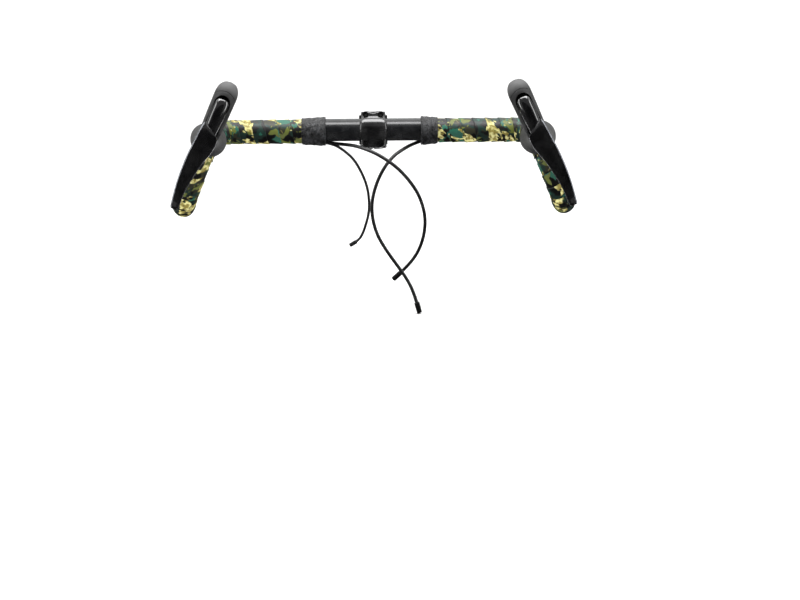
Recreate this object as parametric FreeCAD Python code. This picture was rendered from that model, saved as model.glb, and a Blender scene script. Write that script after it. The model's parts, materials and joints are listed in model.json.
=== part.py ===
"""Flared drop handlebar with its stem, tape, two hydraulic levers and their hoses.

Frame: the origin is the middle of the stem's steerer clamp, on the steerer axis.
+Z is up, -Y is the way the bicycle rides, and +X is the rider's left.
Every length is in millimetres and every angle in degrees.
"""
import FreeCAD, Part
import math
import os

V = FreeCAD.Vector

# ---------------------------------------------------------------- driving dimensions
HEAD_LEAN = 20.0              # the steerer's lean back from upright
STEM_LENGTH = 80.0
STEM_RISE = 14.0              # the stem's rise above the horizontal
STEERER_R = 14.3
STEERER_CLAMP_H = 40.0
STEERER_CLAMP_R = 19.5

BAR_CLAMP_R = 15.9
BAR_R = 11.9
BAR_WALL = 2.2
BAR_CLAMP_HALF = 70.0         # half length of the thick middle
BAR_TAPER_END = 100.0
BAR_HALF_WIDTH = 228.0        # to the corner where the tops turn forward
RAMP_REACH = 70.0
RAMP_DROP = 5.0
RAMP_SPREAD = 2.0
FLARE = 22.0
HOOK_LENGTH = 97.4            # corner to corner, down the flared hook
LOWER_LENGTH = 106.0
LOWER_SLOPE = 9.0
BEND_TOP_R = 32.0
BEND_FRONT_R = 40.0
BEND_LOWER_R = 60.0

TAPE_TOP_R = 17.4             # over the bar and the hoses beneath it
TAPE_TOP_OUT = 1.1
TAPE_TOP_DOWN = 1.9
TAPE_DROP_R = 16.2
TAPE_DROP_START = 61.0        # how far round the front bend the lower tape starts
FINISH_INNER_X = 67.0
FINISH_END_X = {"left": 91.0, "right": 101.0}
FINISH_R_INNER = 20.8
FINISH_R_OUTER = 18.9
FINISH_DOWN = 1.8
PLUG_LENGTH = 22.0

HOSE_R = 2.5
HOUSING_R = 2.0
HOSE_OUT = (4.2, 10.0)         # hose centre outside the bar's line: at the tops, at the ramp
HOSE_BELOW = (14.3, 11.4)
HOSE_ENTRY = [(16.9, -14.0, 9.5), (16.9, 2.0, 6.5), (12.4, 20.0, 6.0)]
HOUSING_OUT = (-4.8, -9.4)
HOUSING_BELOW = (13.6, 11.2)
HOUSING_ENTRY = [(-16.6, -14.0, 9.5), (-16.5, 2.0, 6.5), (-12.4, 18.0, 6.0)]

LEVER_SEAT = 46.0             # how far round the front bend the lever sits
LEVER_TILT = 18.0
LEVER_LEAN = 24.5
LEVER_TOE = 1.0
BAND_WIDTH = 12.0
HOOD_WALL = 2.2
PIVOT = (90.0, 46.0)          # brake pivot: forward, up
PIVOT_R = 2.5
AXLE_UP = 2.0                 # shift axle, along the lever's forward axis
AXLE_R = 3.0
BORE_UP = 20.0                # master cylinder
BORE_R = 5.0
RUN = 0.05                    # radial running clearance

# hood sections: forward, up, heading of the spine, half height, half width
HOOD_SECTIONS = [
    (-15.0, 19.0, -24.0, 22.5, 24.0),
    (-1.0, 14.5, -14.0, 22.5, 25.0),
    (14.0, 10.5, -8.0, 21.0, 21.5),
    (34.0, 9.5, 2.0, 19.6, 17.0),
    (52.0, 10.8, 15.0, 19.6, 15.3),
    (68.0, 16.5, 38.0, 20.0, 14.8),
    (81.0, 32.0, 62.0, 19.5, 15.0),
    (89.0, 52.0, 76.0, 17.0, 15.4),
    (92.6, 69.0, 80.0, 15.6, 15.6),
    (94.0, 77.0, 80.0, 14.2, 14.4),
    (95.0, 83.0, 80.0, 11.0, 11.2),
    (95.7, 87.0, 80.0, 5.6, 5.6),
]

BAR_CENTRE = V(0, -STEM_LENGTH * math.cos(math.radians(STEM_RISE)),
               STEM_LENGTH * math.sin(math.radians(STEM_RISE)))

# free hose and housing routes, set by hand, in the frame above
SHIFT_ROUTE = [(-66, -84, 2), (-55, -85, 0), (-42, -87, -8), (-28, -90, -20), (-17, -92, -39),
               (-10, -93, -57), (-7, -93, -75), (-7, -92, -96), (-12, -88, -116),
               (-17, -83, -131), (-23, -78, -141), (-31, -73, -147)]
RIGHT_HOSE_ROUTE = [(-66, -72, 1), (-52, -74, -1), (-38, -81, -1), (-25, -92, -1),
                    (-12, -104, -3), (5, -112, -9), (22, -117, -19), (38, -119, -32),
                    (52, -118, -49), (63, -113, -67), (71, -104, -92), (73, -93, -116),
                    (69, -81, -143), (60, -68, -167), (45, -54, -189), (32, -43, -204)]
LEFT_HOSE_ROUTE = [(66, -72, 1), (55, -76, -2), (43, -85, -7), (29, -96, -14), (15, -106, -29),
                   (4, -111, -50), (-3, -112, -75), (-3, -111, -99), (3, -112, -123),
                   (14, -111, -144), (29, -111, -166), (45, -110, -189), (56, -108, -212),
                   (62, -106, -235)]

PARTS = {}


# ---------------------------------------------------------------- geometry helpers
def unit(v):
    return v * (1.0 / v.Length)


def lateral(degrees):
    """Sine and cosine of an angle in degrees."""
    return math.sin(math.radians(degrees)), math.cos(math.radians(degrees))


def rounded_path(points, radii):
    """A wire of straight runs joined by tangent arcs; radii has one value per inner point."""
    edges = []
    start = points[0]
    for i in range(1, len(points) - 1):
        a = unit(points[i] - points[i - 1])
        b = unit(points[i + 1] - points[i])
        half = a.getAngle(b) / 2.0
        inward = unit(b - a)
        back = radii[i - 1] * math.tan(half)
        centre = points[i] + inward * (radii[i - 1] / math.cos(half))
        first = points[i] - a * back
        edges.append(Part.LineSegment(start, first).toShape())
        last = points[i] + b * back
        edges.append(Part.Arc(first, centre - inward * radii[i - 1], last).toShape())
        start = last
    edges.append(Part.LineSegment(start, points[-1]).toShape())
    return Part.Wire(edges)


def soft_radii(points):
    """The largest arc that each pair of neighbouring runs leaves room for."""
    radii = []
    for i in range(1, len(points) - 1):
        a = points[i] - points[i - 1]
        b = points[i + 1] - points[i]
        shorter = min(a.Length, b.Length)
        radii.append(0.45 * shorter / math.tan(a.getAngle(b) / 2.0))
    return radii


def ring(radius, centre, direction):
    return Part.Wire([Part.makeCircle(radius, centre, direction)])


def tube(wire, radius):
    """A solid round bar along a wire."""
    edge = wire.OrderedEdges[0]
    start = edge.valueAt(edge.FirstParameter)
    heading = edge.tangentAt(edge.FirstParameter)
    return wire.makePipeShell([ring(radius, start, heading)], True, False)


def cord(name, route, radius):
    """A free cord's plain tube, with its radii and volume printed for a check."""
    points = [V(*p) for p in route]
    radii = soft_radii(points)
    wire = rounded_path(points, radii)
    shape = tube(wire, radius)
    expected = math.pi * radius ** 2 * wire.Length
    print(name, "length %.1f" % wire.Length, "volume ratio %.4f" % (shape.Volume / expected),
          "radii", " ".join("%.0f" % r for r in radii))
    return shape


def cylinder(radius, start, end):
    return Part.makeCylinder(radius, (end - start).Length, start, unit(end - start))


def fuse(shapes):
    body = shapes[0]
    for extra in shapes[1:]:
        body = body.fuse(extra)
    return body.removeSplitter()


def cut(body, tools):
    for tool in tools:
        body = body.cut(tool)
    return body


def largest(shape):
    """The biggest solid of a shape, which drops boolean crumbs."""
    return max(shape.Solids, key=lambda s: s.Volume)


def closed_curve(points):
    curve = Part.BSplineCurve()
    curve.interpolate(Points=points, PeriodicFlag=True)
    return curve.toShape()


def add(node, shape):
    """Keep a node's solids as one compound, or as the one solid there is."""
    solids = shape.Solids
    PARTS[node] = solids[0] if len(solids) == 1 else Part.makeCompound(solids)


# ---------------------------------------------------------------- bar paths, rider's left (+X)
def bar_corners():
    """The bar's centre line as corners, from the stem out to the end of the hook."""
    sin_flare, cos_flare = lateral(FLARE)
    sin_slope, cos_slope = lateral(LOWER_SLOPE)
    down = V(sin_flare, 0, -cos_flare)
    tops = BAR_CENTRE + V(BAR_HALF_WIDTH, 0, 0)
    front = tops + V(RAMP_SPREAD, -RAMP_REACH, -RAMP_DROP)
    low = front + down * HOOK_LENGTH
    end = low + (V(0, 1, 0) * cos_slope + down * sin_slope) * LOWER_LENGTH
    return [BAR_CENTRE, tops, front, low, end]


CORNERS = bar_corners()
RAMP_DIR = unit(CORNERS[2] - CORNERS[1])
HOOK_DIR = unit(CORNERS[3] - CORNERS[2])
TOPS_NORMAL = unit(V(1, 0, 0).cross(RAMP_DIR))       # points down, square to tops and ramp


def bar_wire(first_x=0.0, radial=0.0, below=0.0, stop=4):
    """The bar's path, or its tops and ramp moved outward in their plane and below it."""
    behind = unit(V(1, 0, 0) * RAMP_DIR.x - RAMP_DIR)
    outboard = unit(V(1, 0, 0) - RAMP_DIR * RAMP_DIR.x)
    corner_shift = (behind + outboard) * (radial / (1 + behind.dot(outboard)))
    start = V(first_x, BAR_CENTRE.y, BAR_CENTRE.z) + behind * radial + TOPS_NORMAL * below
    tops = CORNERS[1] + corner_shift + TOPS_NORMAL * below
    if stop == 2:
        front = CORNERS[2] + outboard * radial + TOPS_NORMAL * below
        return rounded_path([start, tops, front], [BEND_TOP_R + radial])
    return rounded_path([start] + CORNERS[1:], [BEND_TOP_R, BEND_FRONT_R, BEND_LOWER_R])


def front_bend(angle):
    """A point on the front bend, its outward direction and its tangent, angle from the ramp."""
    half = RAMP_DIR.getAngle(HOOK_DIR) / 2.0
    centre = CORNERS[2] + unit(HOOK_DIR - RAMP_DIR) * (BEND_FRONT_R / math.cos(half))
    start = CORNERS[2] - RAMP_DIR * (BEND_FRONT_R * math.tan(half))
    first = unit(start - centre)
    turn = math.radians(angle)
    outward = first * math.cos(turn) + RAMP_DIR * math.sin(turn)
    tangent = RAMP_DIR * math.cos(turn) - first * math.sin(turn)
    return centre + outward * BEND_FRONT_R, outward, tangent


def bar_solid(path, clamp_r, radius):
    """One half of the bar with its thick middle and taper, solid."""
    middle = cylinder(clamp_r, BAR_CENTRE, BAR_CENTRE + V(BAR_CLAMP_HALF, 0, 0))
    taper = Part.makeCone(clamp_r, radius, BAR_TAPER_END - BAR_CLAMP_HALF,
                          BAR_CENTRE + V(BAR_CLAMP_HALF, 0, 0), V(1, 0, 0))
    return fuse([middle, taper, tube(path, radius)])


def mirrored(shape):
    return shape.mirror(V(0, 0, 0), V(1, 0, 0))


BAR_PATH = bar_wire(BAR_TAPER_END)
HALF_OUTER = bar_solid(BAR_PATH, BAR_CLAMP_R, BAR_R)
HALF_INNER = bar_solid(BAR_PATH, BAR_CLAMP_R - BAR_WALL, BAR_R - BAR_WALL)


def build_bar():
    """One butted tube from plug to plug."""
    half = HALF_OUTER.cut(HALF_INNER)
    add("bar_tube", largest(half.fuse(mirrored(half)).removeSplitter()))


def end_solid(start_back, length, radius):
    """A straight length on the axis of the bar's open end."""
    heading = unit(CORNERS[4] - CORNERS[3])
    first = CORNERS[4] - heading * start_back
    return cylinder(radius, first, first + heading * length)


def build_end_plug(side, place):
    """A push-in plug whose head covers the end of the tape."""
    stem = end_solid(PLUG_LENGTH - 2, PLUG_LENGTH, BAR_R - BAR_WALL - RUN)
    head = end_solid(-0.2, 4.0, TAPE_DROP_R - 0.4)
    rim = [e for e in head.Edges if e.Curve.TypeId == "Part::GeomCircle"]
    head = head.makeFillet(1.6, [max(rim, key=lambda e: e.CenterOfMass.y)])
    add("end_plug_" + side, place(fuse([stem, head])))


# ---------------------------------------------------------------- stem
def in_stem(shape):
    """From the stem's own frame (-Y along the stem, Z square to it) to the part's."""
    shape = shape.copy()
    shape.rotate(V(0, 0, 0), V(1, 0, 0), -STEM_RISE)
    shape.translate(BAR_CENTRE)
    return shape


def block(x, y, z):
    """A box from three (low, high) pairs."""
    return Part.makeBox(x[1] - x[0], y[1] - y[0], z[1] - z[0], V(x[0], y[0], z[0]))


FACE_WIDTH = 40.0
FACE_WIDTH_ENDS = 33.0
FACE_HEIGHT = 51.0
BOLT_X = 10.85
BOLT_Z = 20.6
BOLT_R = 2.5
BOLT_HEAD_R = 4.2


def face_outline(depth_low, depth_high):
    """The faceplate's eight-sided outline seen along the bolts, as a prism."""
    w, e, h = FACE_WIDTH / 2, FACE_WIDTH_ENDS / 2, FACE_HEIGHT / 2
    mid = h - 14.0
    corners = [(w, -mid), (w, mid), (e, h), (-e, h), (-w, mid), (-w, -mid), (-e, -h), (e, -h)]
    points = [V(x, depth_low, z) for x, z in corners]
    face = Part.Face(Part.makePolygon(points + points[:1]))
    return face.extrude(V(0, depth_high - depth_low, 0))


def bolt(head_face, length, x, z, step=-1):
    """A cap bolt along Y whose head's outer face is at head_face."""
    head = cylinder(BOLT_HEAD_R, V(x, head_face, z), V(x, head_face - step * 5.0, z))
    shank = cylinder(BOLT_R, V(x, head_face - step * 4.0, z), V(x, head_face - step * length, z))
    socket = Part.makeCylinder(2.3, 2.6, V(x, head_face, z), V(0, -step, 0))
    return head.fuse(shank).cut(socket)


def build_stem():
    """Stem body, faceplate and both sets of bolts, in the stem's own frame."""
    ears = face_outline(0.7, 13.0)
    shell = cylinder(BAR_CLAMP_R + 4.6, V(-FACE_WIDTH / 2, 0, 0), V(FACE_WIDTH / 2, 0, 0))
    rear = shell.common(block((-30, 30), (0.7, 40), (-40, 40)))
    sin_tip, cos_tip = lateral(HEAD_LEAN - STEM_RISE)
    axis = V(0, sin_tip, cos_tip)
    clamp_mid = V(0, STEM_LENGTH, 0)
    low = clamp_mid - axis * (STEERER_CLAMP_H / 2)
    high = clamp_mid + axis * (STEERER_CLAMP_H / 2)
    collar = cylinder(STEERER_CLAMP_R, low, high)
    sections = [(12.0, 17.5, 18.5), (30.0, 16.0, 16.8), (52.0, 15.6, 16.0), (76.0, 16.0, 16.8)]
    wires = []
    for y, half_x, half_z in sections:
        ellipse = Part.Ellipse(V(0, y, 0), max(half_x, half_z), min(half_x, half_z))
        oval = ellipse.toShape()
        oval.rotate(V(0, y, 0), V(1, 0, 0), 90)
        oval.rotate(V(0, y, 0), V(0, 1, 0), 90)
        wires.append(Part.Wire([oval]))
    reach = Part.makeLoft(wires, True, False)
    lug = block((-10, 10), (STEM_LENGTH + 12, STEM_LENGTH + 27), (-17, 17))
    lug.rotate(clamp_mid, V(1, 0, 0), -(HEAD_LEAN - STEM_RISE))
    body = fuse([ears, rear, reach, collar, lug])
    bore = cylinder(STEERER_R, clamp_mid - axis * 40, clamp_mid + axis * 40)
    bar_bore = cylinder(BAR_CLAMP_R + 0.02, V(-30, 0, 0), V(30, 0, 0))
    slot = block((-1, 1), (STEM_LENGTH + 10, STEM_LENGTH + 40), (-30, 30))
    body = cut(body, [bore, bar_bore, slot])

    front = face_outline(-13.0, -0.7)
    arch = shell.common(block((-30, 30), (-40, -0.7), (-40, 40)))
    plate = fuse([front, arch]).cut(bar_bore)
    window = block((-3.2, 3.2), (-20, 0), (18.5, 24.0))
    plate = plate.cut(window)
    face_bolts = []
    for x in (-BOLT_X, BOLT_X):
        for z in (-BOLT_Z, BOLT_Z):
            seat = cylinder(BOLT_HEAD_R + 0.3, V(x, -30, z), V(x, -9.0, z))
            hole = cylinder(BOLT_R + 0.1, V(x, -30, z), V(x, 0, z))
            thread = cylinder(BOLT_R, V(x, 0, z), V(x, 9.5, z))
            plate = cut(plate, [seat, hole])
            body = body.cut(thread)
            head_face = -14.0
            face_bolts.append(bolt(head_face, 23.0, x, z))

    clamp_bolts = []
    for z, way in ((-10.5, 1), (10.5, -1)):
        y = STEM_LENGTH + 21.5 + z * sin_tip / cos_tip
        shank = cylinder(BOLT_R, V(-way * 9, y, z), V(way * 11, y, z))
        head = cylinder(BOLT_HEAD_R, V(way * 6, y, z), V(way * 11, y, z))
        socket = cylinder(2.3, V(way * 8.6, y, z), V(way * 12, y, z))
        clamp_bolts.append(head.fuse(shank).cut(socket))
        seat = cylinder(BOLT_HEAD_R + 0.02, V(way * 6, y, z), V(way * 14, y, z))
        body = cut(body, [seat, cylinder(BOLT_R, V(-way * 9, y, z), V(way * 8, y, z))])

    add("stem_body", in_stem(largest(body)))
    add("stem_faceplate", in_stem(largest(plate)))
    add("faceplate_bolts", in_stem(Part.makeCompound(face_bolts)))
    add("steerer_clamp_bolts", in_stem(Part.makeCompound(clamp_bolts)))


# ---------------------------------------------------------------- lever frame
SEAT_POINT, SEAT_OUT, SEAT_TANGENT = front_bend(LEVER_SEAT)


def in_lever(shape):
    """From the lever's frame (X outboard, -Y forward, Z up, seat at zero) to the part's."""
    shape = shape.copy()
    shape.rotate(V(0, 0, 0), V(1, 0, 0), -LEVER_TILT)
    shape.rotate(V(0, 0, 0), V(0, 0, 1), LEVER_TOE)
    shape.rotate(V(0, 0, 0), V(0, 1, 0), -LEVER_LEAN)
    shape.translate(SEAT_POINT)
    return shape


def lever_point(side, forward, up):
    """A point of the lever's frame in the part's frame."""
    return in_lever(Part.Vertex(V(side, -forward, up))).Point


def in_profile(outline, half_width):
    """A closed (forward, up) outline, made a prism of the full width."""
    points = [V(-half_width, -f, u) for f, u in outline]
    wire = Part.makePolygon(points + points[:1])
    return Part.Face(wire).extrude(V(2 * half_width, 0, 0))


def front_profile(outline, forward_low, forward_high):
    """A closed (side, up) outline, made a prism along the forward axis."""
    points = [V(s, -forward_low, u) for s, u in outline]
    face = Part.Face(Part.Wire([closed_curve(points)]))
    return face.extrude(V(0, forward_low - forward_high, 0))


def along_forward(radius, low, high, up, side=0.0):
    return cylinder(radius, V(side, -low, up), V(side, -high, up))


def across(radius, half, forward, up):
    return cylinder(radius, V(-half, -forward, up), V(half, -forward, up))


def hood_loft(inset):
    """The lever body's rounded outer form, smaller all round by inset."""
    wires = []
    for forward, up, heading, half_height, half_width in HOOD_SECTIONS:
        tall, wide = half_height - inset, half_width - inset
        centre = V(0, -forward, up)
        oval = Part.Ellipse(V(0, 0, 0), max(tall, wide), min(tall, wide)).toShape()
        if tall >= wide:
            oval.rotate(V(0, 0, 0), V(0, 0, 1), 90)
        oval.rotate(V(0, 0, 0), V(1, 0, 0), 90 - heading)
        oval.translate(centre)
        wires.append(Part.Wire([oval]))
    return Part.makeLoft(wires, True, False)


# ---------------------------------------------------------------- hoses held by tape and hood
TOP_TURN = math.degrees(V(1, 0, 0).getAngle(RAMP_DIR))
FRONT_TURN = math.degrees(RAMP_DIR.getAngle(HOOK_DIR))
HELD_CORNERS = 3


def held_path(exit_point, out, below, entry):
    """A hose's line under the tape: from the bar's middle round to its place in the lever."""
    behind = unit(V(1, 0, 0) * RAMP_DIR.x - RAMP_DIR)
    outboard = unit(V(1, 0, 0) - RAMP_DIR * RAMP_DIR.x)
    centre = CORNERS[1] - (behind + outboard) * (BEND_TOP_R / (1 + behind.dot(outboard)))
    level = V(BAR_TAPER_END + 6, BAR_CENTRE.y, BAR_CENTRE.z) + behind * out[0] \
        + TOPS_NORMAL * below[0]
    points = [exit_point, level]
    step = TOP_TURN / HELD_CORNERS
    for k in range(HELD_CORNERS):
        share = (k + 0.5) / HELD_CORNERS
        sin_turn, cos_turn = lateral(share * TOP_TURN)
        away = unit(behind * cos_turn + outboard * sin_turn)
        radius = BEND_TOP_R + out[0] + (out[1] - out[0]) * share
        depth = below[0] + (below[1] - below[0]) * share
        points.append(centre + away * (radius / lateral(step / 2)[1]) + TOPS_NORMAL * depth)
    points += [lever_point(*p) for p in entry]
    return rounded_path(points, soft_radii(points))


def exit_of(route):
    """A route's first point, carried to the rider's left."""
    x, y, z = route[0]
    return V(abs(x), y, z)


HELD_HOSE = tube(held_path(exit_of(LEFT_HOSE_ROUTE), HOSE_OUT, HOSE_BELOW, HOSE_ENTRY), HOSE_R)
HELD_HOUSING = tube(held_path(exit_of(SHIFT_ROUTE), HOUSING_OUT, HOUSING_BELOW, HOUSING_ENTRY),
                    HOUSING_R)
HOOD_OUTER = in_lever(hood_loft(0))


# ---------------------------------------------------------------- tape
def build_tape(side, place):
    """Bar tape over the bar and hoses, and the dark finishing tape round its inner end."""
    inside = [HALF_OUTER, HELD_HOSE]
    if side == "right":
        inside.append(HELD_HOUSING)
    finish_end = FINISH_END_X[side]
    tops = tube(bar_wire(finish_end, TAPE_TOP_OUT, TAPE_TOP_DOWN, 2), TAPE_TOP_R)
    points = [front_bend(a)[0] for a in (0.0, 15.0, 30.0)]
    shoulder = tube(Part.Wire([Part.Arc(*points).toShape()]), TAPE_TOP_R + 1.2)
    upper = largest(cut(fuse([tops, shoulder]), inside + [HOOD_OUTER]))

    arc = Part.Arc(*[front_bend(a)[0] for a in (TAPE_DROP_START, 75.0, FRONT_TURN)]).toShape()
    hook = Part.Wire([arc] + bar_wire().OrderedEdges[4:7])
    lower = largest(tube(hook, TAPE_DROP_R).cut(HALF_OUTER).cut(HOOD_OUTER))
    add("bar_tape_" + side, place(Part.makeCompound([upper, lower])))

    low = BAR_CENTRE + TOPS_NORMAL * FINISH_DOWN
    wires = [ring(FINISH_R_INNER, low + V(FINISH_INNER_X, 0, 0), V(1, 0, 0)),
             ring(FINISH_R_OUTER, low + V(finish_end - 0.05, 0, 0), V(1, 0, 0))]
    wrap = Part.makeLoft(wires, True, True)
    add("finishing_tape_" + side, place(largest(cut(wrap, inside))))
    add("hose_run_" + side, place(HELD_HOSE))
    if side == "right":
        add("shift_housing_run", place(HELD_HOUSING))


# ---------------------------------------------------------------- lever
SLOT = [(60, -40), (60, 27), (79, 38), (79, 55), (125, 55), (125, -40)]
SLOT_HALF = 11.0
SLOT_ARCH_UP = 55.0
CHIN = [(46, -40), (46, -9.5), (58, -3), (70, 7), (82, 19), (125, 19), (125, -40)]
BACK_OF_BAR = [(-70, 70), (-23, 23), (-4, 8), (1, 0), (5, -36), (-70, -70)]
BASE = [(96, 60), (101, 54), (103, 42), (103, 26), (100.5, 12.4), (98, 11.6), (98, -7), (93.5, -7),
        (93.5, 13), (90, 18), (84, 30), (81, 46), (84, 54), (90, 58.5)]
BASE_HALF = 8.4
FACE = [(96.2, 60.4), (101.4, 54.2), (103.4, 42), (103.4, 16), (106.6, 16), (108.8, 32),
        (108.6, 44), (106.2, 55), (101.0, 62.5)]
FACE_FRONT = [(0, 63), (5, 61.5), (8.6, 57), (9.9, 50), (9.6, 40), (8.4, 28), (7.8, 14),
              (-7.8, 14), (-8.4, 28), (-9.6, 40), (-9.9, 50), (-8.6, 57), (-5, 61.5)]
BLADE_SIDE = [(105.5, 14), (106, 0), (104.5, -14), (99.5, -40), (92.5, -66), (89.5, -80),
              (91.5, -92), (88, -95), (83.5, -88), (82, -76), (86, -58), (93, -34), (98, -10),
              (98.6, 0), (98.6, 14)]
BLADE_FRONT = [(0, 10.8), (6, 8.6), (9.0, 3), (10.8, -4), (13.6, -16), (14.4, -36),
               (14.2, -60), (13.2, -78), (11.0, -90), (6.5, -94), (2.4, -90), (-1.5, -78),
               (-5.0, -60), (-7.6, -36), (-9.8, -16), (-9.8, -4), (-9.0, 3), (-6, 8.6)]
PADDLE = [(-2, 7.6), (3.5, 5.6), (4, -1), (-1.5, -14), (-5, -32), (-8, -46), (-13, -47),
          (-15.5, -38), (-12.2, -24), (-6, -9), (-6, 4)]


def build_lever(side, place):
    """Bracket, hood and everything they hold, built on the rider's left."""
    held = [in_lever(s) for s in (along_forward(BORE_R, 27, 63, BORE_UP),
                                  along_forward(4.2, 14.6, 27.4, 6, 12.2))]
    mouth = [in_lever(in_profile(SLOT, SLOT_HALF)), in_lever(in_profile(CHIN, 30)),
             in_lever(along_forward(SLOT_HALF, 79, 125, SLOT_ARCH_UP))]
    bar_room = tube(bar_wire(BAR_TAPER_END), BAR_R + 0.35)
    hose_room = [tube(held_path(exit_of(LEFT_HOSE_ROUTE), HOSE_OUT, HOSE_BELOW, HOSE_ENTRY),
                      HOSE_R + 0.3),
                 tube(held_path(exit_of(SHIFT_ROUTE), HOUSING_OUT, HOUSING_BELOW,
                                HOUSING_ENTRY), HOUSING_R + 0.3)]
    inner = in_lever(hood_loft(HOOD_WALL))
    tank_low, tank_high = V(0, -93.0, 69.0), V(0, -94.7, 79.8)
    tank = in_lever(cylinder(8.5, tank_low, tank_high))
    lid_seat = in_lever(cylinder(9.6, V(0, -94.6, 79.2), V(0, -95.5, 84.4)))
    pin_hole = in_lever(across(PIVOT_R, 13.0, *PIVOT))
    band_low = SEAT_POINT - SEAT_TANGENT * (BAND_WIDTH / 2)
    band_room = cylinder(14.4, band_low - SEAT_TANGENT * 0.4, band_low + SEAT_TANGENT * 12.4)
    bracket = cut(inner, mouth + held + hose_room + [
        bar_room, tank, lid_seat, pin_hole, band_room,
        in_lever(in_profile(BACK_OF_BAR, 40))])
    add("lever_bracket_" + side, place(largest(bracket)))
    skin = cut(HOOD_OUTER, [inner, bar_room, band_room] + mouth + held + hose_room)
    add("hood_" + side, place(largest(skin)))

    band = cylinder(13.9, band_low, band_low + SEAT_TANGENT * BAND_WIDTH)
    band = cut(band, [cylinder(12.6, band_low - SEAT_TANGENT, band_low + SEAT_TANGENT * 13)])
    add("clamp_band_" + side, place(band))

    add("brake_pivot_pin_" + side, place(in_lever(across(PIVOT_R, 12.2, *PIVOT))))
    base = in_profile(BASE, BASE_HALF)
    swing = across(PIVOT_R + RUN, 12, *PIVOT)
    pocket = across(5.2, 5.0, *PIVOT)
    axle_hole = along_forward(AXLE_R, 80, 99, AXLE_UP)
    screw_hole = along_forward(2.0, 88, 104, 30)
    base = cut(base, [swing, pocket, axle_hole, screw_hole])
    add("lever_base_" + side, place(in_lever(largest(base))))
    spring = across(4.9, 4.6, *PIVOT).cut(across(2.9, 6, *PIVOT))
    add("lever_return_spring_" + side, place(in_lever(spring)))
    add("reach_screw_" + side, place(in_lever(along_forward(2.0, 89, 103, 30))))
    points = [V(s, -90, u) for s, u in FACE_FRONT]
    outline = Part.Face(Part.makePolygon(points + points[:1])).extrude(V(0, -30, 0))
    face = largest(in_profile(FACE, 12).common(outline))
    add("lever_face_" + side, place(in_lever(face)))

    blade = front_profile(BLADE_FRONT, 70, 120).common(in_profile(BLADE_SIDE, 30))
    blade = largest(blade.cut(along_forward(AXLE_R + RUN, 90, 120, AXLE_UP)))
    add("lever_blade_" + side, place(in_lever(blade)))
    tail = 93.5 if side == "left" else 80.2
    axle = along_forward(AXLE_R, tail, 106.6, AXLE_UP)
    cap = along_forward(5.0, 106.4, 107.8, AXLE_UP)
    add("shift_axle_" + side if side == "right" else "blade_bolt_left",
        place(in_lever(axle.fuse(cap).removeSplitter())))

    piston = along_forward(BORE_R - RUN, 42, 57, BORE_UP)
    grooves = [along_forward(BORE_R, low, low + 1.6, BORE_UP).cut(
        along_forward(4.3, low, low + 1.6, BORE_UP)) for low in (44.0, 52.0)]
    add("piston_" + side, place(in_lever(largest(cut(piston, grooves)))))
    seals = [along_forward(BORE_R - RUN, low + 0.1, low + 1.5, BORE_UP).cut(
        along_forward(4.3, low, low + 1.6, BORE_UP)) for low in (44.0, 52.0)]
    add("piston_seals_" + side, place(in_lever(Part.makeCompound(seals))))
    coil = along_forward(4.6, 28, 41.8, BORE_UP).cut(along_forward(3.4, 27, 43, BORE_UP))
    add("piston_spring_" + side, place(in_lever(coil)))
    rod = along_forward(1.8, 57.1, 86, BORE_UP).fuse(along_forward(3.2, 85.4, 87.0, BORE_UP))
    add("pushrod_" + side, place(in_lever(rod)))

    rubber = cylinder(8.3, tank_low + V(0, -1.3, 8.2), tank_low + V(0, -1.5, 9.4))
    add("reservoir_diaphragm_" + side, place(in_lever(rubber)))
    lid = cylinder(9.5, V(0, -94.65, 79.4), V(0, -95.0, 81.6))
    bleed = cylinder(2.0, V(0, -94.9, 80.6), V(0, -95.25, 82.8))
    add("reservoir_cap_" + side, place(in_lever(lid.cut(bleed))))
    add("bleed_screw_" + side, place(in_lever(bleed)))

    nut = in_lever(along_forward(4.1, 15.0, 27.0, 6, 12.2)).cut(HELD_HOSE)
    add("hose_fitting_" + side, place(largest(nut)))
    if side == "right":
        build_shifter(place)


def build_shifter(place):
    """The cable spool and release paddle, which turn on the shift axle behind the base."""
    bore = along_forward(AXLE_R + RUN, 70, 96, AXLE_UP)
    spool = along_forward(6.4, 80.6, 84.2, AXLE_UP).cut(bore)
    groove = along_forward(9, 81.6, 83.2, AXLE_UP).cut(along_forward(5.2, 81.6, 83.2, AXLE_UP))
    add("cable_spool", place(in_lever(largest(spool.cut(groove)))))
    paddle = front_profile(PADDLE, 84.8, 88.2)
    hub = along_forward(6.0, 84.6, 93.1, AXLE_UP)
    paddle = fuse([paddle, hub]).cut(bore)
    add("release_paddle", place(in_lever(largest(paddle))))


# ---------------------------------------------------------------- free hoses and their ends
def end_piece(route, radius, length, bore):
    """A fitting over a route's last end, in line with it."""
    last, before = V(*route[-1]), V(*route[-2])
    heading = unit(last - before)
    body = cylinder(radius, last - heading * (length * 0.55), last + heading * (length * 0.45))
    return body.cut(cylinder(bore, last - heading * length, last))


def build_cords():
    """The free lengths from the tape to where they would enter the frame or fork."""
    add("shift_housing", cord("shift_housing", SHIFT_ROUTE, HOUSING_R))
    add("brake_hose_right", cord("brake_hose_right", RIGHT_HOSE_ROUTE, HOSE_R))
    add("brake_hose_left", cord("brake_hose_left", LEFT_HOSE_ROUTE, HOSE_R))
    add("housing_ferrule", end_piece(SHIFT_ROUTE, 2.9, 11.0, HOUSING_R))
    add("hose_union_right", end_piece(RIGHT_HOSE_ROUTE, 3.8, 15.0, HOSE_R))
    add("hose_union_left", end_piece(LEFT_HOSE_ROUTE, 3.8, 15.0, HOSE_R))


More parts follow.
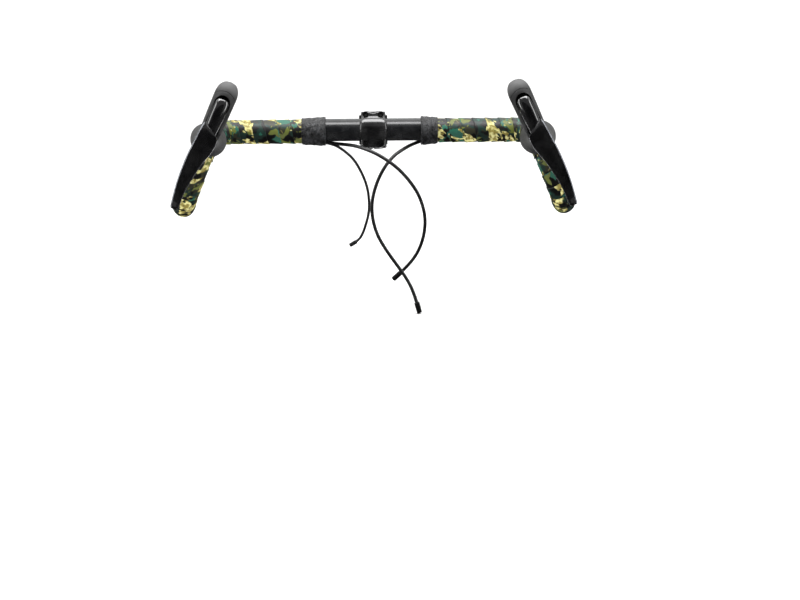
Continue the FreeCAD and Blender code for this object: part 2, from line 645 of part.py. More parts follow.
def main():
    build_bar()
    build_stem()
    build_cords()
    for side, place in (("left", lambda shape: shape), ("right", mirrored)):
        build_end_plug(side, place)
        build_tape(side, place)
        build_lever(side, place)
    os.makedirs("parts", exist_ok=True)
    for node, shape in PARTS.items():
        shape.exportStep("parts/" + node + ".step")
        print(node, len(shape.Solids), "valid" if shape.isValid() else "NOT VALID",
              round(shape.Volume))


main()
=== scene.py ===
"""A dressed drop handlebar: wrapped tape, hooded levers, hanging hoses and a studio.

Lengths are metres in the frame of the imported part: +Z up, -Y the way the bicycle
rides, +X the rider's left, with the origin on the steerer axis.
"""
import json
import logging
import math
from dataclasses import dataclass
from enum import Enum
from typing import Callable, Sequence, Union

import bmesh
import bpy
from mathutils import Matrix, Vector, noise

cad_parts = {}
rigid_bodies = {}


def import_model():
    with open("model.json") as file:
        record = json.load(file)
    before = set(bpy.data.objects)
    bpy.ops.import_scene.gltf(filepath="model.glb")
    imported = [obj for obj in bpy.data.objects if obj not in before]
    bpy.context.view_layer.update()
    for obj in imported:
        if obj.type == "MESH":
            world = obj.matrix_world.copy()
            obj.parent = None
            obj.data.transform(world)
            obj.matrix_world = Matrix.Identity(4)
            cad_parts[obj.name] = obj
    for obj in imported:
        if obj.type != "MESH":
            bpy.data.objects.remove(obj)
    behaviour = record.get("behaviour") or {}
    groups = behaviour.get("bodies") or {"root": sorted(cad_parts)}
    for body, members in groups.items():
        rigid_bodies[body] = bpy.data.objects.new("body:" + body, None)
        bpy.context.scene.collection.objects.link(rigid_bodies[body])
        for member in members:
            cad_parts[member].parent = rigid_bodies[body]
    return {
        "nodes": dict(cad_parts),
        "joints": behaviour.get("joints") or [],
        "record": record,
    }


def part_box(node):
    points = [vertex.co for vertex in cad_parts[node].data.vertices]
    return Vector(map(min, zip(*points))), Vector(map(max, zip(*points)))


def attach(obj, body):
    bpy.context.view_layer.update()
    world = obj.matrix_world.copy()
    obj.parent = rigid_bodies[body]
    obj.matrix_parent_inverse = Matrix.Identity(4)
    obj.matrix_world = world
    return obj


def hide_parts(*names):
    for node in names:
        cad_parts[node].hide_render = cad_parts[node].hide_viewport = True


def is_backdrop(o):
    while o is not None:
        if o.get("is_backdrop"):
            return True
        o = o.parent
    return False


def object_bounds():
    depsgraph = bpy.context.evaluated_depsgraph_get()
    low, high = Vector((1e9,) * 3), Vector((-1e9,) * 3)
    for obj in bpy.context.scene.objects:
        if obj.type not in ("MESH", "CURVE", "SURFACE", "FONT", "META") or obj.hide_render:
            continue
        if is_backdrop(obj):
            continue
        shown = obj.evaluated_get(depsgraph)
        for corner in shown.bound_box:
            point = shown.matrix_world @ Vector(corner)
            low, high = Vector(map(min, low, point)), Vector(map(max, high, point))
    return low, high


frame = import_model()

Colour = tuple[float, float, float]
Number = Union["Wire", float]
Rings = Sequence[Sequence[Vector]]

LOG = logging.getLogger("handlebar")
MM = 0.001
ROOT_BODY = "handlebar"


class Side(Enum):
    """The rider's side, whose value is the sign of X on it."""

    LEFT = 1
    RIGHT = -1

    @property
    def word(self) -> str:
        """The side's name as the CAD nodes spell it."""
        return self.name.lower()

    def named(self, stem: str) -> str:
        """Give a node or piece name for this side.

        Args:
            stem: the name without its side.

        Returns:
            The name that ends in the side.
        """
        return f"{stem}_{self.word}"


def linear(text: str) -> Colour:
    """Turn a six-digit hex colour into linear red, green and blue.

    Args:
        text: the colour as six hexadecimal digits.

    Returns:
        Three linear channels from 0 to 1.
    """
    channels = (int(text[i:i + 2], 16) / 255 for i in (0, 2, 4))
    return tuple(c / 12.92 if c <= 0.04045 else ((c + 0.055) / 1.055) ** 2.4 for c in channels)


# ---------------------------------------------------------------- node graphs
class Wire:
    """A socket of a node graph that adds, multiplies and compares like a number."""

    def __init__(self, graph: "Graph", socket: bpy.types.NodeSocket) -> None:
        self.graph = graph
        self.socket = socket

    def __add__(self, other: Number) -> "Wire":
        return self.graph.math("ADD", self, other)

    def __radd__(self, other: Number) -> "Wire":
        return self.graph.math("ADD", other, self)

    def __sub__(self, other: Number) -> "Wire":
        return self.graph.math("SUBTRACT", self, other)

    def __rsub__(self, other: Number) -> "Wire":
        return self.graph.math("SUBTRACT", other, self)

    def __mul__(self, other: Number) -> "Wire":
        return self.graph.math("MULTIPLY", self, other)

    def __rmul__(self, other: Number) -> "Wire":
        return self.graph.math("MULTIPLY", other, self)

    def __truediv__(self, other: Number) -> "Wire":
        return self.graph.math("DIVIDE", self, other)

    def __abs__(self) -> "Wire":
        return self.graph.math("ABSOLUTE", self)

    def sine(self) -> "Wire":
        """Sine of the value, in radians."""
        return self.graph.math("SINE", self)

    def step(self, low: float, high: float) -> "Wire":
        """Rise smoothly from 0 at low to 1 at high, or fall where high is the smaller.

        Args:
            low: the value that gives 0.
            high: the value that gives 1.

        Returns:
            The eased value.
        """
        if low <= high:
            return self.graph.node("ShaderNodeMapRange",
                                   {"Value": self, "From Min": low, "From Max": high},
                                   interpolation_type="SMOOTHSTEP")
        return 1.0 - self.step(high, low)


class Graph:
    """One material's nodes, ending in a principled shader."""

    def __init__(self, name: str) -> None:
        self.material = bpy.data.materials.new(name)
        self.material.use_nodes = True
        self.tree = self.material.node_tree
        self.shader = self.tree.nodes["Principled BSDF"]

    def node(self, kind: str, inputs: dict[Union[str, int], object], output: Union[str, int] = 0,
             **settings: object) -> Wire:
        """Add a node, set or link its inputs and return one output.

        Args:
            kind: the node's type name.
            inputs: socket name or number to a wire or a constant.
            output: the socket to return.
            **settings: attributes of the node.

        Returns:
            The chosen output as a wire.
        """
        made = self.tree.nodes.new(kind)
        for key, value in settings.items():
            setattr(made, key, value)
        for key, value in inputs.items():
            self.feed(made.inputs[key], value)
        return Wire(self, made.outputs[output])

    def feed(self, socket: bpy.types.NodeSocket, value: object) -> None:
        """Link a wire to a socket, or set the socket to a constant.

        Args:
            socket: the input socket.
            value: a wire, a number, a vector or a colour.
        """
        if isinstance(value, Wire):
            self.tree.links.new(value.socket, socket)
        elif socket.type == "RGBA":
            socket.default_value = (*value, 1.0)
        else:
            socket.default_value = value

    def math(self, operation: str, first: Number, second: Number = 0.0) -> Wire:
        """One arithmetic step."""
        return self.node("ShaderNodeMath", {0: first, 1: second}, operation=operation)

    def vector(self, operation: str, first: object, second: object, output: int = 0) -> Wire:
        """One vector step, such as ADD, MULTIPLY or DOT_PRODUCT."""
        return self.node("ShaderNodeVectorMath", {0: first, 1: second}, output, operation=operation)

    def mix(self, first: object, second: object, share: Number) -> Wire:
        """Blend two colours by a share from 0 to 1."""
        return self.node("ShaderNodeMix", {"Factor": share, 6: first, 7: second}, 2,
                         data_type="RGBA")

    def place(self, output: str = "Object") -> Wire:
        """The point being shaded, in object metres or as the mesh's own UV."""
        return self.node("ShaderNodeTexCoord", {}, output)

    def noise(self, size: float, where: Wire, detail: float = 3.0, roughness: float = 0.5,
              distortion: float = 0.0) -> Wire:
        """Smooth noise from 0 to 1 whose features measure about size metres."""
        return self.node("ShaderNodeTexNoise",
                         {"Vector": where, "Scale": 1.0 / size, "Detail": detail,
                          "Roughness": roughness, "Distortion": distortion})

    def finish(self, colour: object, roughness: Number, height: Wire, depth: float,
               **constants: float) -> bpy.types.Material:
        """Feed the shader and return the material.

        Args:
            colour: base colour, as a wire or a constant.
            roughness: surface roughness.
            height: the relief, from 0 to 1.
            depth: the relief's depth in metres.
            **constants: other sockets, with underscores for spaces.

        Returns:
            The finished material.
        """
        self.feed(self.shader.inputs["Base Color"], colour)
        self.feed(self.shader.inputs["Roughness"], roughness)
        bump = self.node("ShaderNodeBump", {"Height": height, "Distance": depth, "Strength": 1.0})
        self.feed(self.shader.inputs["Normal"], bump)
        for name, value in constants.items():
            self.feed(self.shader.inputs[name.replace("_", " ")], value)
        return self.material


# ---------------------------------------------------------------- finishes
@dataclass(frozen=True)
class Moulded:
    """A grained surface such as paint, plastic or rubber.

    Attributes:
        name: the material's name.
        colour: the middle colour.
        roughness: the middle roughness.
        grain: the size of the surface's grain.
        depth: how deep the grain is.
        wear: how much lighter the rubbed patches are, from 0 to 1.
        coat: the strength of a clear gloss over it.
        metallic: 0 for plastic, 1 for bare metal.
    """

    name: str
    colour: Colour
    roughness: float
    grain: float = 0.6 * MM
    depth: float = 0.04 * MM
    wear: float = 0.25
    coat: float = 0.0
    metallic: float = 0.0

    def relief(self, graph: Graph, where: Wire) -> Wire:
        """The surface's height from 0 to 1."""
        return graph.noise(self.grain, where, 2.0, 0.6)

    def tint(self, graph: Graph, where: Wire) -> Wire:
        """The surface's colour, clouded a little."""
        clouds = graph.noise(18 * MM, where, 4.0, 0.6).step(0.35, 0.75)
        lighter = tuple(c + (1 - c) * 0.06 * self.wear + c * self.wear for c in self.colour)
        return graph.mix(self.colour, lighter, clouds)

    def material(self) -> bpy.types.Material:
        """Make the finish's material."""
        graph = Graph(self.name)
        where = graph.place()
        rub = graph.noise(7 * MM, where, 5.0, 0.7)
        rough = self.roughness + (rub - 0.5) * 0.22 * self.roughness
        return graph.finish(self.tint(graph, where), rough, self.relief(graph, where), self.depth,
                            Coat_Weight=self.coat, Coat_Roughness=0.06, Metallic=self.metallic)


@dataclass(frozen=True)
class Ribbed(Moulded):
    """Hood rubber: pebbled, ribbed over its bulge and creased under its knob, with a painted
    highlight on its cap and painted shade in the crease.

    Attributes:
        lever: the lever's own axes, which place the ribs and the crease.
        pitch: the distance between ribs.
    """

    lever: "LeverFrame" = None
    pitch: float = 2.1 * MM

    LIP_UP = 71.5
    LIP_BOW = 0.028
    # Painted highlight: how much paler the cap's colour is painted towards its top.
    CAP_PALER = 5.5

    def along(self, graph: Graph, where: Wire, axis: Vector) -> Wire:
        """How far a point lies from the lever's seat along one of its axes, in millimetres."""
        away = graph.vector("SUBTRACT", where, self.lever.seat)
        return graph.vector("DOT_PRODUCT", away, axis / MM, 1)

    def ribs(self, graph: Graph, where: Wire) -> Wire:
        """Fine ribs over the rear bulge, from 0 to 1."""
        forward = self.along(graph, where, self.lever.forward)
        up = self.along(graph, where, self.lever.up)
        waves = ((up * 0.8 + forward * 0.6) * (2 * math.pi * MM / self.pitch)).sine()
        return (waves * 0.5 + 0.5) * forward.step(40, 26) * abs(up - 12).step(22, 15)

    def crease(self, graph: Graph, where: Wire) -> Wire:
        """The lip line under the knob's cap, from 0 to 1: a groove in the relief and painted shade
        in the colour.
        """
        across = self.along(graph, where, self.lever.side)
        up = self.along(graph, where, self.lever.up)
        forward = self.along(graph, where, self.lever.forward)
        bowed = up + across * across * self.LIP_BOW
        return abs(bowed - self.LIP_UP).step(0.9, 0.3) * forward.step(94, 98)

    def relief(self, graph: Graph, where: Wire) -> Wire:
        """Pebble, ribs and crease together."""
        pebble = graph.noise(self.grain, where, 2.0, 0.6)
        return pebble * 0.25 + self.ribs(graph, where) * 0.75 - self.crease(graph, where) * 1.2

    def tint(self, graph: Graph, where: Wire) -> Wire:
        """Painted highlight, paler towards the top of the knob's cap, and painted shade, darker in
        the crease.
        """
        up = self.along(graph, where, self.lever.up)
        base = super().tint(graph, where)
        # Painted highlight: the colour is raised towards the top of the cap.
        pale = tuple(c * self.CAP_PALER for c in self.colour)
        capped = graph.mix(base, pale, up.step(66, 80))
        # Painted shade: the colour is darkened in the crease under the cap.
        shade = tuple(c * 0.35 for c in self.colour)
        return graph.mix(capped, shade, self.crease(graph, where))


@dataclass(frozen=True)
class Turned:
    """Machined metal with fine turning marks."""

    name: str
    colour: Colour
    roughness: float

    def material(self) -> bpy.types.Material:
        """Make the finish's material."""
        graph = Graph(self.name)
        where = graph.place()
        marks = graph.noise(0.25 * MM, graph.vector("MULTIPLY", where, (1.0, 0.08, 1.0)), 3.0)
        stain = graph.noise(5 * MM, where, 4.0, 0.65)
        dull = tuple(c * 0.7 for c in self.colour)
        return graph.finish(graph.mix(self.colour, dull, stain.step(0.4, 0.7)),
                            self.roughness + (marks - 0.5) * 0.15, marks, 0.02 * MM, Metallic=1.0)


@dataclass(frozen=True)
class Camouflage:
    """Cushioned tape printed with a generic woodland camouflage.

    The print lies along the strip, so it breaks at each turn's edge. Its lighter teal blotches are
    a painted highlight, a lit copy of the dark teal.
    """

    name: str
    shade: Colour = linear("082b23")
    # Painted highlight: a lit copy of the dark teal, laid in blotches.
    leaf: Colour = linear("185c49")
    bark: Colour = linear("080706")
    earth: Colour = linear("2b2b18")
    olive: Colour = linear("5d6524")
    straw: Colour = linear("d6d08a")
    ochre: Colour = linear("86782f")
    roughness: float = 0.48

    def patch(self, graph: Graph, where: Wire, shift: float, size: float, level: float) -> Wire:
        """One colour's sharp-edged blotches, as a share from 0 to 1.

        Args:
            graph: the graph that it belongs to.
            where: the place on the strip.
            shift: how far the pattern is moved off the others, in metres.
            size: the blotches' size.
            level: the noise level above which the blotch shows.

        Returns:
            1 inside the blotches and 0 outside.
        """
        moved = graph.vector("ADD", where, (shift, shift * 0.7, shift))
        return graph.noise(size, moved, 2.5, 0.55, 0.6).step(level - 0.008, level + 0.008)

    def material(self) -> bpy.types.Material:
        """Make the finish's material."""
        graph = Graph(self.name)
        strip = graph.place("UV")
        colour = graph.mix(self.shade, self.bark, self.patch(graph, strip, 0.31, 24 * MM, 0.49))
        # Painted highlight: blotches of the lit teal.
        colour = graph.mix(colour, self.leaf, self.patch(graph, strip, 0.77, 26 * MM, 0.57))
        colour = graph.mix(colour, self.earth, self.patch(graph, strip, 1.43, 20 * MM, 0.60))
        ripe = graph.noise(6 * MM, strip, 2.0).step(0.42, 0.6)
        fruit = graph.mix(self.ochre, self.straw, ripe)
        colour = graph.mix(colour, fruit, self.patch(graph, strip, 2.19, 24 * MM, 0.56))
        colour = graph.mix(colour, self.olive, self.patch(graph, strip, 3.37, 18 * MM, 0.60))
        colour = graph.mix(colour, self.bark, self.patch(graph, strip, 4.71, 12 * MM, 0.62))
        pores = graph.noise(0.5 * MM, strip, 2.0, 0.7)
        creases = graph.noise(5 * MM, strip, 4.0, 0.6)
        rough = self.roughness + (creases - 0.5) * 0.2
        return graph.finish(colour, rough, pores * 0.3 + creases * 0.7, 0.35 * MM)


@dataclass(frozen=True)
class Crumpled:
    """Black finishing tape, thin, woven and wrinkled, with patches of its ridges painted lighter as
    a painted highlight.
    """

    name: str
    colour: Colour
    scuffed: Colour
    roughness: float

    def material(self) -> bpy.types.Material:
        """Make the finish's material."""
        graph = Graph(self.name)
        where = graph.place()
        bent = graph.vector("MULTIPLY", where, (0.55, 1.0, 1.0))
        folds = graph.noise(3.2 * MM, bent, 4.0, 0.6, 1.8)
        ridge = (abs(folds - 0.5) * 14.0).step(1.0, 0.0)
        threads = (graph.vector("DOT_PRODUCT", where, (6500.0, 0.0, 0.0), 1).sine() * 0.5 + 0.5)
        # Painted highlight: patches of the ridges are painted a lighter grey.
        ridge_glint = ridge * graph.noise(9 * MM, where).step(0.3, 0.6)
        colour = graph.mix(self.colour, self.scuffed, ridge_glint)
        return graph.finish(colour, self.roughness - ridge * 0.12,
                            ridge * 0.5 + folds * 0.4 + threads * 0.06, 0.55 * MM)


# ---------------------------------------------------------------- mesh helpers
def new_object(name: str, form: bmesh.types.BMesh, *looks: bpy.types.Material) -> bpy.types.Object:
    """Turn a bmesh into a smooth-shaded object in the scene.

    Args:
        name: the piece's name.
        form: its geometry, which is freed.
        *looks: its materials, in slot order.

    Returns:
        The new object.
    """
    bmesh.ops.recalc_face_normals(form, faces=form.faces)
    mesh = bpy.data.meshes.new(name)
    form.to_mesh(mesh)
    form.free()
    for look in looks:
        mesh.materials.append(look)
    mesh.shade_smooth()
    made = bpy.data.objects.new(name, mesh)
    bpy.context.scene.collection.objects.link(made)
    return made


def loft(rings: Rings, capped: bool = True) -> bmesh.types.BMesh:
    """Skin closed rings of equal length into one form.

    Args:
        rings: the rings, in order along the form.
        capped: whether the first and last rings are filled.

    Returns:
        The form as a bmesh.
    """
    form = bmesh.new()
    rows = [[form.verts.new(point) for point in ring] for ring in rings]
    count = len(rows[0])
    for low, high in zip(rows, rows[1:]):
        for i in range(count):
            j = (i + 1) % count
            form.faces.new((low[i], low[j], high[j], high[i]))
    if capped:
        form.faces.new(rows[0])
        form.faces.new(rows[-1])
    return form


def mark_sharp(piece: bpy.types.Object, degrees: float) -> None:
    """Keep a piece's edges crisp where they turn by more than an angle.

    Args:
        piece: the mesh object.
        degrees: the smallest angle that stays crisp.
    """
    form = bmesh.new()
    form.from_mesh(piece.data)
    for edge in form.edges:
        if len(edge.link_faces) == 2 and edge.calc_face_angle() > math.radians(degrees):
            edge.smooth = False
    form.to_mesh(piece.data)
    form.free()


def eased(stations: Sequence[Sequence[float]], steps: int) -> list[list[float]]:
    """Interpolate rows of numbers smoothly, with steps between each pair.

    Args:
        stations: rows of equal length.
        steps: new rows for each gap.

    Returns:
        The rows on a Catmull-Rom curve through the stations.
    """
    rows = []
    last = len(stations) - 1
    for k in range(last):
        a, b, c, d = (stations[min(max(i, 0), last)] for i in (k - 1, k, k + 1, k + 2))
        for step in range(steps):
            t = step / steps
            rows.append([0.5 * (2 * q + (r - p) * t + (2 * p - 5 * q + 4 * r - s) * t * t
                                + (3 * q - p - 3 * r + s) * t ** 3)
                         for p, q, r, s in zip(a, b, c, d)])
    rows.append(list(stations[last]))
    return rows


@dataclass(frozen=True)
class RoundedLine:
    """A line of straight runs whose corners are arcs.

    Attributes:
        corners: the runs' corners.
        radii: the arc's radius at each inner corner.
    """

    corners: tuple[Vector, ...]
    radii: tuple[float, ...]

    def points(self, spacing: float) -> list[Vector]:
        """Points along the line, at most spacing apart.

        Args:
            spacing: the largest gap between points.

        Returns:
            The points from end to end.
        """
        found = [self.corners[0]]
        for k in range(1, len(self.corners) - 1):
            corner = self.corners[k]
            before = (corner - self.corners[k - 1]).normalized()
            after = (self.corners[k + 1] - corner).normalized()
            turn = before.angle(after)
            radius = self.radii[k - 1]
            centre = corner + (after - before).normalized() * (radius / math.cos(turn / 2))
            first = corner - before * (radius * math.tan(turn / 2))
            self.run_to(found, first, spacing)
            axis = before.cross(after)
            steps = max(2, math.ceil(turn * radius / spacing))
            for i in range(1, steps + 1):
                found.append(centre + Matrix.Rotation(turn * i / steps, 3, axis) @ (first - centre))
        self.run_to(found, self.corners[-1], spacing)
        return found

    @staticmethod
    def run_to(found: list[Vector], end: Vector, spacing: float) -> None:
        """Add a straight run's points to those found so far."""
        start = found[-1]
        steps = max(1, math.ceil((end - start).length / spacing))
        found.extend(start.lerp(end, i / steps) for i in range(1, steps + 1))


class Track:
    """A line with lengths and steady axes along it."""

    def __init__(self, points: Sequence[Vector], first_up: Vector) -> None:
        self.points = list(points)
        self.lengths = [0.0]
        for a, b in zip(self.points, self.points[1:]):
            self.lengths.append(self.lengths[-1] + (b - a).length)
        self.headings = self.tangents()
        self.ups = self.carried(first_up)

    @property
    def length(self) -> float:
        """The line's whole length."""
        return self.lengths[-1]

    def tangents(self) -> list[Vector]:
        """Unit headings at the points."""
        last = len(self.points) - 1
        return [(self.points[min(i + 1, last)] - self.points[max(i - 1, 0)]).normalized()
                for i in range(last + 1)]

    def carried(self, up: Vector) -> list[Vector]:
        """An up direction carried along the line without twist."""
        found = []
        for heading in self.headings:
            up = (up - heading * up.dot(heading)).normalized()
            found.append(up)
        return found

    def around(self, distance: float, angle: float, radius: float) -> Vector:
        """A point beside the line.

        Args:
            distance: the length along the line, held to its ends.
            angle: the angle round the line from its up direction, in radians.
            radius: how far from the line.

        Returns:
            The point.
        """
        distance = min(max(distance, 0.0), self.length)
        low, high = 0, len(self.lengths) - 2
        while low < high:
            middle = (low + high + 1) // 2
            low, high = (middle, high) if self.lengths[middle] <= distance else (low, middle - 1)
        gap = self.lengths[low + 1] - self.lengths[low]
        share = (distance - self.lengths[low]) / gap
        centre = self.points[low].lerp(self.points[low + 1], share)
        heading = self.headings[low].lerp(self.headings[low + 1], share).normalized()
        up = self.ups[low].lerp(self.ups[low + 1], share).normalized()
        side = heading.cross(up)
        return centre + (up * math.cos(angle) + side * math.sin(angle)) * radius


# ---------------------------------------------------------------- where things are
@dataclass(frozen=True)
class BarLine:
    """The bar's centre line, from the driving sizes of its bends."""

    half_width: float = 228 * MM
    reach: float = 70 * MM
    drop: float = 5 * MM
    spread: float = 2 * MM
    flare: float = math.radians(22)
    hook: float = 97.4 * MM
    lower: float = 106 * MM
    slope: float = math.radians(9)
    radii: tuple[float, float, float] = (32 * MM, 40 * MM, 60 * MM)
    stem_length: float = 80 * MM
    stem_rise: float = math.radians(14)

    @property
    def centre(self) -> Vector:
        """The middle of the clamped part, from the stem's length and rise."""
        return Vector((0.0, -math.cos(self.stem_rise), math.sin(self.stem_rise))) * self.stem_length

    def corners(self, side: Side) -> tuple[Vector, ...]:
        """The line's corners on one side, from the middle to the open end."""
        down = Vector((math.sin(self.flare), 0, -math.cos(self.flare)))
        tops = self.centre + Vector((self.half_width, 0, 0))
        front = tops + Vector((self.spread, -self.reach, -self.drop))
        low = front + down * self.hook
        rearward = Vector((0, math.cos(self.slope), 0)) + down * math.sin(self.slope)
        end = low + rearward * self.lower
        return tuple(Vector((p.x * side.value, p.y, p.z))
                     for p in (self.centre, tops, front, low, end))


@dataclass(frozen=True)
class LeverFrame:
    """A lever's own axes, taken from the joints that move it.

    Attributes:
        rider_side: which lever it is.
        seat: where the lever meets the bar.
        side: outboard.
        forward: the way the lever's body points.
        up: along the knob.
    """

    rider_side: Side
    seat: Vector
    side: Vector
    forward: Vector
    up: Vector

    @classmethod
    def of(cls, rider_side: Side) -> "LeverFrame":
        """Read one lever's axes from its brake and piston joints.

        Args:
            rider_side: the lever's side.

        Returns:
            The lever's frame.
        """
        joints = {joint["name"]: joint for joint in frame["joints"]}
        brake = joints[f"{rider_side.word}_brake"]
        forward = -Vector(joints[f"{rider_side.word}_piston_slide"]["axis"])
        side = Vector(brake["axis"]) * rider_side.value
        up = forward.cross(side) * rider_side.value
        seat = Vector(brake["pos_m"]) - forward * (90 * MM) - up * (46 * MM)
        return cls(rider_side, seat, side, forward, up)

    def point(self, side: float, forward: float, up: float) -> Vector:
        """A point given in the lever's own millimetres."""
        return self.seat + (self.side * side + self.forward * forward + self.up * up) * MM


# ---------------------------------------------------------------- studio
@dataclass(frozen=True)
class Softbox:
    """A rectangular light that faces a point."""

    name: str
    place: tuple[float, float, float]
    aim: tuple[float, float, float]
    size: tuple[float, float]
    watts: float

    def build(self) -> None:
        """Add the light to the scene."""
        lamp = bpy.data.lights.new(self.name, "AREA")
        lamp.shape = "RECTANGLE"
        lamp.size, lamp.size_y = self.size
        lamp.energy = self.watts
        holder = bpy.data.objects.new(self.name, lamp)
        holder.location = self.place
        away = Vector(self.place) - Vector(self.aim)
        holder.rotation_euler = away.to_track_quat("Z", "Y").to_euler()
        bpy.context.scene.collection.objects.link(holder)


@dataclass(frozen=True)
class Studio:
    """Camera, floor, lights and the dark cards that keep gloss black from washing out."""

    distance: float = 2.6
    elevation: float = math.radians(10.0)
    pitch: float = math.radians(15.32)
    pan: float = math.radians(0.81)
    roll: float = math.radians(-0.38)
    lens: float = 82.4
    floor_gap: float = 1 * MM
    sky: float = 0.28
    backdrop: float = 1.0

    def camera(self, aim: Vector) -> None:
        """Put the camera in front of the bar, above it and turned a little down."""
        data = bpy.data.cameras.new("camera")
        data.lens = self.lens
        data.sensor_width = 36.0
        data.clip_end = 60.0
        holder = bpy.data.objects.new("camera", data)
        offset = Vector((0, -math.cos(self.elevation), math.sin(self.elevation))) * self.distance
        turn = (Matrix.Rotation(-self.pan, 4, "Z")
                @ Matrix.Rotation(math.radians(90) - self.pitch, 4, "X")
                @ Matrix.Rotation(self.roll, 4, "Z"))
        holder.matrix_world = Matrix.Translation(aim + offset) @ turn
        bpy.context.scene.collection.objects.link(holder)
        bpy.context.scene.camera = holder

    def world(self) -> None:
        """Surround the scene with white that lights it only faintly."""
        sky = bpy.data.worlds.new("sky")
        sky.use_nodes = True
        tree = sky.node_tree
        background = tree.nodes["Background"]
        background.inputs["Color"].default_value = (1.0, 1.0, 1.0, 1.0)
        path = tree.nodes.new("ShaderNodeLightPath")
        strength = tree.nodes.new("ShaderNodeMapRange")
        strength.inputs["To Min"].default_value = self.sky
        strength.inputs["To Max"].default_value = self.backdrop
        tree.links.new(path.outputs["Is Camera Ray"], strength.inputs["Value"])
        tree.links.new(strength.outputs["Result"], background.inputs["Strength"])
        bpy.context.scene.world = sky

    def floor(self, height: float) -> None:
        """Lay a wide pale floor under the part, which glows where the lamps don't reach.

        Args:
            height: the height of the part's lowest point.
        """
        form = bmesh.new()
        bmesh.ops.create_grid(form, x_segments=1, y_segments=1, size=14.0)
        graph = Graph("pale_floor")
        where = graph.place()
        away = graph.vector("LENGTH", where, (0, 0, 0), 1)
        glow = graph.mix((0.0, 0.0, 0.0), (0.9, 0.9, 0.9), away.step(1.4, 4.5))
        graph.feed(graph.shader.inputs["Emission Color"], glow)
        grain = graph.noise(3 * MM, where)
        look = graph.finish((0.86, 0.86, 0.86), 0.7 + (grain - 0.5) * 0.1, grain, 0.02 * MM,
                            Emission_Strength=1.0)
        plane = new_object("floor", form, look)
        plane.location.z = height - self.floor_gap
        plane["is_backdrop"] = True

    def flags(self, height: float) -> None:
        """Stand a dark card in front and lay another on the floor, for the gloss alone to mirror.

        Args:
            height: the height of the part's lowest point.
        """
        cloth = Moulded("flag_cloth", (0.01, 0.01, 0.01), 0.9).material()
        for name, place, tilt, scale in (("flag_front", (0, -3.8, 1.2), 90, (3.4, 1.9, 1.0)),
                                         ("flag_floor", (0, -1.7, height), 0, (3.4, 2.1, 1.0))):
            form = bmesh.new()
            bmesh.ops.create_grid(form, x_segments=1, y_segments=1, size=1.0)
            card = new_object(name, form, cloth)
            card.scale = scale
            card.rotation_euler = (math.radians(tilt), 0, 0)
            card.location = place
            card.visible_camera = card.visible_diffuse = card.visible_shadow = False
            card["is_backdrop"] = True

    def lights(self) -> None:
        """Hang the softboxes."""
        boxes = (
            Softbox("wash", (0.0, 2.4, 2.6), (0.0, 2.4, 0.0), (7.0, 6.0), 230.0),
            Softbox("key", (0.0, -0.35, 1.5), (0, -0.08, 0.0), (1.8, 0.6), 34.0),
            Softbox("strip_left", (1.4, -0.5, 0.35), (0.2, -0.15, 0.0), (0.4, 1.6), 10.0),
            Softbox("strip_right", (-1.4, -0.5, 0.35), (-0.2, -0.15, 0.0), (0.4, 1.6), 10.0),
        )
        for box in boxes:
            box.build()


# ---------------------------------------------------------------- free hoses
@dataclass(frozen=True)
class Hose:
    """One free hose or cable housing that hangs from the tape.

    Attributes:
        node: the CAD node that it replaces.
        fitting: the CAD node on its far end; not used.
        diameter: its outside diameter.
        length: its length along the curve; not used.
        route: the control points.
    """

    node: str
    fitting: str
    diameter: float
    length: float
    route: tuple[tuple[float, float, float], ...]

    def build(self, look: bpy.types.Material) -> bpy.types.Object:
        """Draw the hose as one smooth spline.

        Args:
            look: its material.

        Returns:
            The curve object.
        """
        data = bpy.data.curves.new("free_" + self.node, "CURVE")
        data.dimensions = "3D"
        data.bevel_depth = self.diameter / 2
        data.bevel_resolution = 6
        data.resolution_u = 12
        data.use_fill_caps = True
        spline = data.splines.new("NURBS")
        spline.points.add(len(self.route) - 1)
        for point, place in zip(spline.points, self.route):
            point.co = (*place, 1.0)
        spline.order_u = 3
        spline.use_endpoint_u = True
        data.materials.append(look)
        made = bpy.data.objects.new("free_" + self.node, data)
        bpy.context.scene.collection.objects.link(made)
        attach(made, ROOT_BODY)
        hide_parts(self.node)
        return made


SHIFT_ROUTE = ((-.066, -.084, .002), (-.055, -.085, .0), (-.042, -.087, -.008), (-.028, -.09, -.02),
               (-.017, -.092, -.039), (-.01, -.093, -.057), (-.007, -.093, -.075),
               (-.007, -.092, -.096), (-.012, -.088, -.116), (-.017, -.083, -.131),
               (-.023, -.078, -.141), (-.031, -.073, -.147))
RIGHT_HOSE_ROUTE = ((-.066, -.072, .001), (-.052, -.074, -.001), (-.038, -.081, -.001),
                    (-.025, -.092, -.001), (-.012, -.104, -.003), (.005, -.112, -.009),
                    (.022, -.117, -.019), (.038, -.119, -.032), (.052, -.118, -.049),
                    (.063, -.113, -.067), (.071, -.104, -.092), (.073, -.093, -.116),
                    (.069, -.081, -.143), (.06, -.068, -.167), (.045, -.054, -.189),
                    (.032, -.043, -.204))
LEFT_HOSE_ROUTE = ((.066, -.072, .001), (.055, -.076, -.002), (.043, -.085, -.007),
                   (.029, -.096, -.014), (.015, -.106, -.029), (.004, -.111, -.05),
                   (-.003, -.112, -.075), (-.003, -.111, -.099), (.003, -.112, -.123),
                   (.014, -.111, -.144), (.029, -.111, -.166), (.045, -.11, -.189),
                   (.056, -.108, -.212), (.062, -.106, -.235))
HOSES = (
    Hose("shift_housing", "housing_ferrule", 4 * MM, 0.1867, SHIFT_ROUTE),
    Hose("brake_hose_right", "hose_union_right", 5 * MM, 0.3336, RIGHT_HOSE_ROUTE),
    Hose("brake_hose_left", "hose_union_left", 5 * MM, 0.2955, LEFT_HOSE_ROUTE),
)


